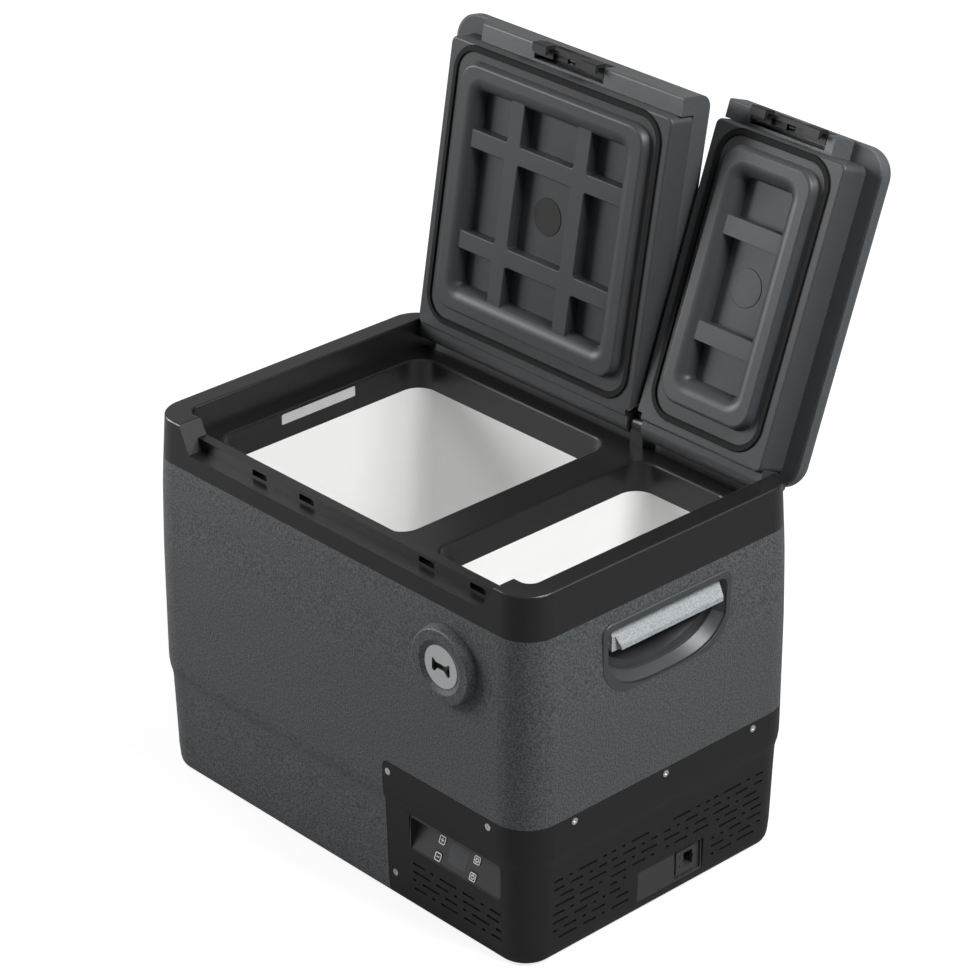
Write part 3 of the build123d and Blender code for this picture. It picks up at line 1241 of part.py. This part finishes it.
def swung(name, shape):
    """Turns a closed lid piece to the open rest position."""
    axis = Axis((0, HINGE_Y, HINGE_Z), (1, 0, 0))
    turn = -LIDS[name]["open"]
    if isinstance(shape, list):
        return [piece.rotate(axis, turn) for piece in shape]
    return shape.rotate(axis, turn)


def make_feet():
    parts = []
    for x, y in FEET:
        stem = rod_z(FOOT_STEM_R, x, y, (FOOT_STAND - 1, FOOT_STAND + 3.5))
        parts.append(rod_z(FOOT_R, x, y, (0, FOOT_STAND)) + stem)
    return parts


def save_all(name, shape):
    """Writes a piece or a group of like pieces."""
    if isinstance(shape, list):
        shape = Compound(children=[s.solids()[0] for s in shape])
    save(name, shape)


def main():
    save_all("outer_shell", make_shell())
    save_all("top_rim", make_rim())
    for name in WELLS:
        save_all("liner_" + name, make_tub(name))
        save_all("evaporator_" + name, make_cold_plate(name))
    save_all("insulation_foam", make_foam())
    save_all("compartment_wall", make_compartment_wall())
    save_all("base_tray", make_base_tray())
    save_all("rubber_feet", make_feet())
    save_all("compressor", make_compressor())
    save_all("compressor_mounts", make_mounts())
    save_all("condenser", make_condenser())
    save_all("fan_frame", make_fan_frame())
    save_all("fan_rotor", make_fan_rotor())
    save_all("refrigerant_line", make_line())
    save_all("drive_board", make_drive_board())
    save_all("vent_cover", make_vent_cover())
    save_all("vent_cover_screws", make_screws())
    save_all("control_panel", make_control_panel())
    save_all("display_window", make_window())
    save_all("control_board", make_control_board())
    for name, (x, u) in KEYS.items():
        save_all(name, make_key(x, u))
    save_all("dc_panel", make_dc_panel())
    save_all("dc_socket", make_dc_socket())
    save_all("dc_contacts", make_dc_contacts())
    save_all("opener_boss", make_opener_boss())
    save_all("opener_plate", make_opener_plate())
    handle = make_handle()
    save_all("handle_right", handle)
    save_all("handle_left", mirror_x(handle))
    grip = make_grip()
    save_all("grip_right", grip)
    save_all("grip_left", mirror_x(grip))
    save_all("led_lens", make_led_lens())
    save_all("led_board", make_led_board())
    save_all("hinge_pins", make_pins())
    for name in LIDS:
        save_all("lid_cover_" + name, swung(name, make_cover(name)))
        save_all("lid_liner_" + name, swung(name, make_liner(name)))
        save_all("lid_foam_" + name, swung(name, make_lid_foam(name)))
        save_all("lid_gasket_" + name, swung(name, make_gasket(name)))
        save_all("lid_disc_" + name, swung(name, make_disc(name)))
        save_all("latch_" + name, swung(name, make_latch(name)))
        save_all("latch_pin_" + name, swung(name, make_latch_pin(name)))
        save_all("latch_spring_" + name, swung(name, make_latch_spring(name)))


main()
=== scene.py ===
"""Looks of the compressor cooler fridge: materials, key signs, lamps and camera."""

import json
import math

import bpy
from mathutils import Matrix, Vector


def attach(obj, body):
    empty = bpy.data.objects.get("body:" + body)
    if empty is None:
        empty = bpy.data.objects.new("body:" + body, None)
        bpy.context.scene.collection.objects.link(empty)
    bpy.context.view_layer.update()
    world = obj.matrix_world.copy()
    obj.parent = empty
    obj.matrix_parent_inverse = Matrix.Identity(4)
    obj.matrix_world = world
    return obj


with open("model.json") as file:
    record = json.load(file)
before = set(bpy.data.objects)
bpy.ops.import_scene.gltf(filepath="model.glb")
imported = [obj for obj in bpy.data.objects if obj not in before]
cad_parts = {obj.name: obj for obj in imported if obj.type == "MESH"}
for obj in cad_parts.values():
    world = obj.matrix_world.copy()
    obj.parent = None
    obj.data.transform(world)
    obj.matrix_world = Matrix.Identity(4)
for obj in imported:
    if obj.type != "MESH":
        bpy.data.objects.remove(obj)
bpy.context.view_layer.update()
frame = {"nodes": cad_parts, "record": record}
NODES = frame["nodes"]
WHITE = (1, 1, 1, 1)

# Noise scales, and the relief in metres
SPECKLE_SCALE = 480
SPECKLE_WIDTH = 0.1
HAMMER_SCALE = 900
HAMMER_RELIEF = 0.0006
CLOUD_SCALE = 60
CLOUD_WIDTH = 0.2
FINE_SCALE = 2600
FINE_RELIEF = 0.0001
MARKS_SCALE = 300
MARKS_SPREAD = 0.06
MARKS_STRENGTH = 0.08
BRUSHED = (1, 1, 6)

# Key signs, in metres
STROKE = 0.00095
FRAME_HALF = 0.0041
FRAME_CORNER = 0.0013
CORNER_STEPS = 4
RING_STEPS = 24
ARM = 0.0024
GEAR_RADIUS = 0.0018
GEAR_TEETH = 8
TOOTH_ROOT = 0.0019
TOOTH_TIP = 0.0030
POWER_RADIUS = 0.0022
POWER_BAR = (0.0005, 0.0033)
CAP_DEPTH = 0.0001
SIGN_DROP = 0.0009
SIGN_LIFT = 0.00004

# The camera that was solved from the photograph: degrees, metres, and
# millimetres for the lens and the sensor
AZIMUTH = 46.713
ELEVATION = 27.664
DISTANCE = 4.180
MOVE_RIGHT = 0.0231
MOVE_UP = 0.3422
LENS = 137.62
SENSOR = 36
FAR_CLIP = 100

# Floor and world: sizes in metres, strengths of light
FLOOR_SIZE = 40
FLOOR_GREY = 160
FLOOR_ROUGHNESS = 0.9
FADE_START = 0.8
FADE_END = 4.0
NEAR_GLOW = 0.79
FAR_GLOW = 0.97
AMBIENT = 0.09
REFLECTED = 0.48
BACKDROP = 0.99

# Lamps: name, place, aim, side length in metres, and power in watts
LAMPS = (
    ("left_light", (-3.0, -1.9, 1.6), (0, -0.1, 0.3), 1.7, 140),
    ("right_light", (2.4, 2.1, 1.9), (0.1, 0, 0.3), 1.6, 9),
    ("top_light", (1.5, 0.33, 2.1), (-0.05, 0.0, 0.35), 1.0, 62),
)


# ---------------------------------------------------------------- shader helpers
def linear(red, green, blue):
    """A display colour, 0 to 255, as the linear colour that shaders take."""
    out = []
    for value in (red, green, blue):
        v = value / 255
        out.append(v / 12.92 if v <= 0.04045 else ((v + 0.055) / 1.055) ** 2.4)
    return (*out, 1.0)


class Shader:
    """A Principled material whose nodes are added one at a time."""

    def __init__(self, name, colour, roughness, metallic=0.0, specular=0.5):
        self.material = bpy.data.materials.new(name)
        self.material.use_nodes = True
        self.nodes = self.material.node_tree.nodes
        self.links = self.material.node_tree.links
        self.bsdf = self.nodes["Principled BSDF"]
        self.colour = colour
        self.bsdf.inputs["Base Color"].default_value = colour
        self.bsdf.inputs["Roughness"].default_value = roughness
        self.bsdf.inputs["Metallic"].default_value = metallic
        self.bsdf.inputs["Specular IOR Level"].default_value = specular

    def noise(self, scale, detail, stretch=(1, 1, 1), roughness=0.5):
        """Noise in the object's own coordinates, which stretch scales."""
        texture = self.nodes.new("ShaderNodeTexCoord")
        mapping = self.nodes.new("ShaderNodeMapping")
        mapping.inputs["Scale"].default_value = stretch
        self.links.new(texture.outputs["Object"], mapping.inputs["Vector"])
        node = self.nodes.new("ShaderNodeTexNoise")
        node.inputs["Scale"].default_value = scale
        node.inputs["Detail"].default_value = detail
        node.inputs["Roughness"].default_value = roughness
        self.links.new(mapping.outputs["Vector"], node.inputs["Vector"])
        return node.outputs["Fac"]

    def mottle(self, fac, spread, width):
        """Makes the colour a little darker and lighter with fac."""
        ramp = self.nodes.new("ShaderNodeValToRGB")
        low, high = ramp.color_ramp.elements
        low.position = 0.5 - width
        high.position = 0.5 + width
        low.color = [c * (1 - spread) for c in self.colour[:3]] + [1]
        high.color = [min(c * (1 + spread), 1) for c in self.colour[:3]] + [1]
        self.links.new(fac, ramp.inputs["Fac"])
        self.links.new(ramp.outputs["Color"], self.bsdf.inputs["Base Color"])

    def bump(self, height, strength, distance):
        """Adds relief to the surface."""
        node = self.nodes.new("ShaderNodeBump")
        node.inputs["Strength"].default_value = strength
        node.inputs["Distance"].default_value = distance
        self.links.new(height, node.inputs["Height"])
        self.links.new(node.outputs["Normal"], self.bsdf.inputs["Normal"])


# ---------------------------------------------------------------- materials
def grain(name, colour, roughness, strength, spread):
    """Moulded plastic with a hammered grain and a fine speckle."""
    shader = Shader(name, colour, roughness)
    speckle = shader.noise(SPECKLE_SCALE, 3, roughness=0.65)
    shader.mottle(speckle, spread, SPECKLE_WIDTH)
    hammer = shader.noise(HAMMER_SCALE, 3, roughness=0.7)
    shader.bump(hammer, strength, HAMMER_RELIEF)
    return shader.material


def smooth(name, colour, roughness, strength=0.06, specular=0.5, spread=0.03):
    """Moulded plastic with a faint fine grain."""
    shader = Shader(name, colour, roughness, specular=specular)
    shader.mottle(shader.noise(CLOUD_SCALE, 3), spread, CLOUD_WIDTH)
    shader.bump(shader.noise(FINE_SCALE, 2), strength, FINE_RELIEF)
    return shader.material


def metal(name, colour, roughness, stretch=(1, 1, 1)):
    """Bare metal with faint marks."""
    shader = Shader(name, colour, roughness, metallic=1.0)
    marks = shader.noise(MARKS_SCALE, 4, stretch)
    shader.mottle(marks, MARKS_SPREAD, CLOUD_WIDTH)
    relief = shader.noise(HAMMER_SCALE, 3, stretch)
    shader.bump(relief, MARKS_STRENGTH, FINE_RELIEF)
    return shader.material


# How each material is made: the maker, display colour, roughness and the rest
RECIPES = {
    "shell_grey": (grain, (74, 77, 79), 0.45, {"strength": 0.9, "spread": 0.5}),
    "rim_black": (smooth, (24, 24, 25), 0.3, {"specular": 0.45}),
    "liner_white": (smooth, (247, 247, 246), 0.25, {"strength": 0.01, "spread": 0.004}),
    "foam": (smooth, (226, 214, 170), 0.9, {"strength": 0.5}),
    "cold_plate": (metal, (200, 202, 204), 0.4, {}),
    "steel": (metal, (222, 223, 224), 0.3, {"stretch": BRUSHED}),
    "zinc": (metal, (170, 173, 176), 0.45, {}),
    "black_plastic": (smooth, (29, 29, 30), 0.5, {"strength": 0.12, "specular": 0.3}),
    "panel_black": (smooth, (54, 54, 55), 0.35, {"strength": 0.04}),
    "lid_grey": (smooth, (60, 63, 65), 0.42, {"specular": 0.3}),
    "rubber": (smooth, (14, 14, 14), 0.7, {"strength": 0.2, "specular": 0.2}),
    "window": (smooth, (76, 77, 79), 0.15, {"strength": 0.01}),
    "board": (smooth, (20, 80, 45), 0.5, {}),
    "grip_silver": (grain, (160, 165, 168), 0.36, {"strength": 0.6, "spread": 0.2}),
    "compressor_black": (smooth, (20, 20, 22), 0.35, {}),
    "copper": (metal, (190, 120, 80), 0.35, {}),
    "lens": (smooth, (190, 190, 190), 0.4, {"strength": 0.02}),
    "key_black": (smooth, (44, 44, 45), 0.4, {}),
    "spring_steel": (metal, (165, 166, 168), 0.35, {}),
    "print_white": (smooth, (235, 235, 235), 0.5, {"strength": 0.02}),
    "cover_grey": (grain, (70, 73, 75), 0.42, {"strength": 0.35, "spread": 0.12}),
    # smooth handle plastic, made darker than the shell as painted shade for the deep
    # handle pocket
    "handle_grey": (smooth, (58, 60, 62), 0.4, {"strength": 0.3, "spread": 0.08}),
    "dark_steel": (metal, (52, 52, 53), 0.5, {}),
    "pin_steel": (metal, (104, 105, 107), 0.5, {}),
    "dc_plate": (smooth, (54, 54, 55), 0.4, {"strength": 0.08}),
    "disc_dark": (smooth, (48, 48, 47), 0.6, {"strength": 0.3, "specular": 0.2}),
}
MATERIALS = {
    name: make(name, linear(*colour), roughness, **rest)
    for name, (make, colour, roughness, rest) in RECIPES.items()
}

# Pieces whose material differs from their slot's in the record
VARIANTS = {
    "hinge_pins": "pin_steel",
    "latch_pin_large": "dark_steel",
    "latch_pin_small": "dark_steel",
    "latch_spring_large": "dark_steel",
    "latch_spring_small": "dark_steel",
    "lid_cover_large": "cover_grey",
    "lid_cover_small": "cover_grey",
    "dc_panel": "dc_plate",
    # the handles take the grey that is darkened as painted shade for their pockets
    "handle_left": "handle_grey",
    "handle_right": "handle_grey",
    "lid_disc_large": "disc_dark",
}


def paint_frame():
    """Gives every CAD piece its own variant or the material of its slot."""
    for piece in frame["record"]["subparts"]:
        mesh = NODES[piece["node"]].data
        mesh.materials.clear()
        name = VARIANTS.get(piece["node"], piece["material_slot"])
        mesh.materials.append(MATERIALS[name])


# ---------------------------------------------------------------- key signs
def ring_points(radius, count=RING_STEPS):
    turns = [2 * math.pi * i / count for i in range(count)]
    return [(radius * math.cos(t), radius * math.sin(t)) for t in turns]


def square_points(half, corner):
    """A square with rounded corners."""
    mid = half - corner
    points = []
    for turn, (sx, sy) in enumerate(((1, 1), (-1, 1), (-1, -1), (1, -1))):
        for step in range(CORNER_STEPS + 1):
            angle = math.pi / 2 * (turn + step / CORNER_STEPS)
            x = sx * mid + corner * math.cos(angle)
            y = sy * mid + corner * math.sin(angle)
            points.append((x, y))
    return points


def sign_lines(kind):
    """The strokes of a key's sign: each a list of points and whether it closes."""
    lines = [(square_points(FRAME_HALF, FRAME_CORNER), True)]
    if kind in ("plus", "minus"):
        lines.append(([(-ARM, 0), (ARM, 0)], False))
    if kind == "plus":
        lines.append(([(0, -ARM), (0, ARM)], False))
    if kind == "set":
        lines.append((ring_points(GEAR_RADIUS), True))
        for x, y in ring_points(1.0, GEAR_TEETH):
            root = (TOOTH_ROOT * x, TOOTH_ROOT * y)
            tip = (TOOTH_TIP * x, TOOTH_TIP * y)
            lines.append(([root, tip], False))
    if kind == "power":
        lines.append((ring_points(POWER_RADIUS), True))
        lines.append(([(0, y) for y in POWER_BAR], False))
    return lines


def add_stroke(verts, faces, points, closed, place):
    """A flat ribbon along the points."""
    count = len(points)
    start = len(verts)
    for i, (x, y) in enumerate(points):
        before = points[i - 1] if closed or i else (x, y)
        after = points[(i + 1) % count] if closed or i < count - 1 else (x, y)
        along = Vector((after[0] - before[0], after[1] - before[1])).normalized()
        side = Vector((-along.y, along.x)) * STROKE / 2
        for sign in (1, -1):
            verts.append(place(x + sign * side.x, y + sign * side.y))
    for i in range(count if closed else count - 1):
        a = start + 2 * i
        b = start + 2 * ((i + 1) % count)
        faces.append((a, a + 1, b + 1, b))


def add_sign(kind, press):
    """The printed sign on a key's cap, on the side that the finger presses."""
    node = NODES["key_" + kind]
    normal = -Vector(press)
    across = Vector((1, 0, 0))
    up = normal.cross(across)
    corners = [vertex.co for vertex in node.data.vertices]
    top = max(corner.dot(normal) for corner in corners)
    cap = [corner for corner in corners if corner.dot(normal) > top - CAP_DEPTH]
    xs = [corner.dot(across) for corner in cap]
    ups = [corner.dot(up) for corner in cap]
    mid_x = (min(xs) + max(xs)) / 2
    mid_up = (min(ups) + max(ups)) / 2 - SIGN_DROP
    lift = normal * (top + SIGN_LIFT)

    def place(x, y):
        return across * (mid_x + x) + up * (mid_up + y) + lift

    verts = []
    faces = []
    for points, closed in sign_lines(kind):
        add_stroke(verts, faces, points, closed, place)
    mesh = bpy.data.meshes.new("symbol_" + kind)
    mesh.from_pydata(verts, [], faces)
    symbol = bpy.data.objects.new("symbol_" + kind, mesh)
    bpy.context.scene.collection.objects.link(symbol)
    mesh.materials.append(MATERIALS["print_white"])
    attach(symbol, kind + "_key")


def add_signs():
    """A sign on every key: the joints that slide are the keys'."""
    for joint in frame["record"]["behaviour"]["joints"]:
        if joint["type"] == "slide":
            add_sign(joint["child"].replace("_key", ""), joint["axis"])


# ---------------------------------------------------------------- studio
def add_camera():
    azimuth = math.radians(AZIMUTH)
    elevation = math.radians(ELEVATION)
    level = math.cos(elevation)
    x = math.sin(azimuth) * level
    y = -math.cos(azimuth) * level
    back = Vector((x, y, math.sin(elevation)))
    right = Vector((math.cos(azimuth), math.sin(azimuth), 0))
    up = back.cross(right)
    data = bpy.data.cameras.new("camera")
    data.lens = LENS
    data.sensor_width = SENSOR
    data.clip_end = FAR_CLIP
    camera = bpy.data.objects.new("camera", data)
    bpy.context.scene.collection.objects.link(camera)
    turn = Matrix((right, up, back)).transposed().to_4x4()
    place = back * DISTANCE + right * MOVE_RIGHT + up * MOVE_UP
    camera.matrix_world = Matrix.Translation(place) @ turn
    bpy.context.scene.camera = camera


def add_lamp(name, place, aim, side, power):
    """A square area lamp at place that shines towards aim."""
    data = bpy.data.lights.new(name, "AREA")
    data.shape = "SQUARE"
    data.size = side
    data.energy = power
    lamp = bpy.data.objects.new(name, data)
    bpy.context.scene.collection.objects.link(lamp)
    lamp.location = place
    view = Vector(aim) - Vector(place)
    lamp.rotation_euler = view.to_track_quat("-Z", "Y").to_euler()


def camera_glow(nodes, links, lit):
    """Adds a white glow that only the camera sees, stronger away from the object."""
    place = nodes.new("ShaderNodeTexCoord")
    distance = nodes.new("ShaderNodeVectorMath")
    distance.operation = "LENGTH"
    links.new(place.outputs["Object"], distance.inputs[0])
    fade = nodes.new("ShaderNodeMapRange")
    fade.inputs["From Min"].default_value = FADE_START
    fade.inputs["From Max"].default_value = FADE_END
    fade.inputs["To Min"].default_value = NEAR_GLOW
    fade.inputs["To Max"].default_value = FAR_GLOW
    links.new(distance.outputs["Value"], fade.inputs["Value"])
    glow = nodes.new("ShaderNodeEmission")
    links.new(fade.outputs["Result"], glow.inputs["Strength"])
    dark = nodes.new("ShaderNodeEmission")
    dark.inputs["Strength"].default_value = 0.0
    path = nodes.new("ShaderNodeLightPath")
    pick = nodes.new("ShaderNodeMixShader")
    links.new(path.outputs["Is Camera Ray"], pick.inputs["Fac"])
    links.new(dark.outputs["Emission"], pick.inputs[1])
    links.new(glow.outputs["Emission"], pick.inputs[2])
    both = nodes.new("ShaderNodeAddShader")
    links.new(lit, both.inputs[0])
    links.new(pick.outputs["Shader"], both.inputs[1])
    return both.outputs["Shader"]


def add_floor():
    bpy.ops.mesh.primitive_plane_add(size=FLOOR_SIZE, location=(0, 0, 0))
    floor = bpy.context.object
    floor.name = "floor"
    grey = linear(FLOOR_GREY, FLOOR_GREY, FLOOR_GREY)
    shader = Shader("floor", grey, FLOOR_ROUGHNESS, specular=0.0)
    lit = shader.bsdf.outputs["BSDF"]
    surface = shader.nodes["Material Output"].inputs["Surface"]
    shader.links.new(camera_glow(shader.nodes, shader.links, lit), surface)
    floor.data.materials.append(shader.material)


def add_world():
    """Weak pale light all round, brighter in reflections and white to the camera."""
    world = bpy.data.worlds.new("world")
    bpy.context.scene.world = world
    world.use_nodes = True
    nodes = world.node_tree.nodes
    links = world.node_tree.links
    path = nodes.new("ShaderNodeLightPath")
    nodes["Background"].inputs["Color"].default_value = WHITE
    nodes["Background"].inputs["Strength"].default_value = AMBIENT
    shown = nodes["Background"].outputs["Background"]
    for ray, strength in (("Is Glossy Ray", REFLECTED), ("Is Camera Ray", BACKDROP)):
        other = nodes.new("ShaderNodeBackground")
        other.inputs["Color"].default_value = WHITE
        other.inputs["Strength"].default_value = strength
        mix = nodes.new("ShaderNodeMixShader")
        links.new(path.outputs[ray], mix.inputs["Fac"])
        links.new(shown, mix.inputs[1])
        links.new(other.outputs["Background"], mix.inputs[2])
        shown = mix.outputs["Shader"]
    links.new(shown, nodes["World Output"].inputs["Surface"])


def add_studio():
    """The camera, the floor, the world and three soft lamps."""
    add_camera()
    add_floor()
    add_world()
    for lamp in LAMPS:
        add_lamp(*lamp)
    bpy.context.scene.view_settings.view_transform = "Standard"


paint_frame()
add_signs()
add_studio()
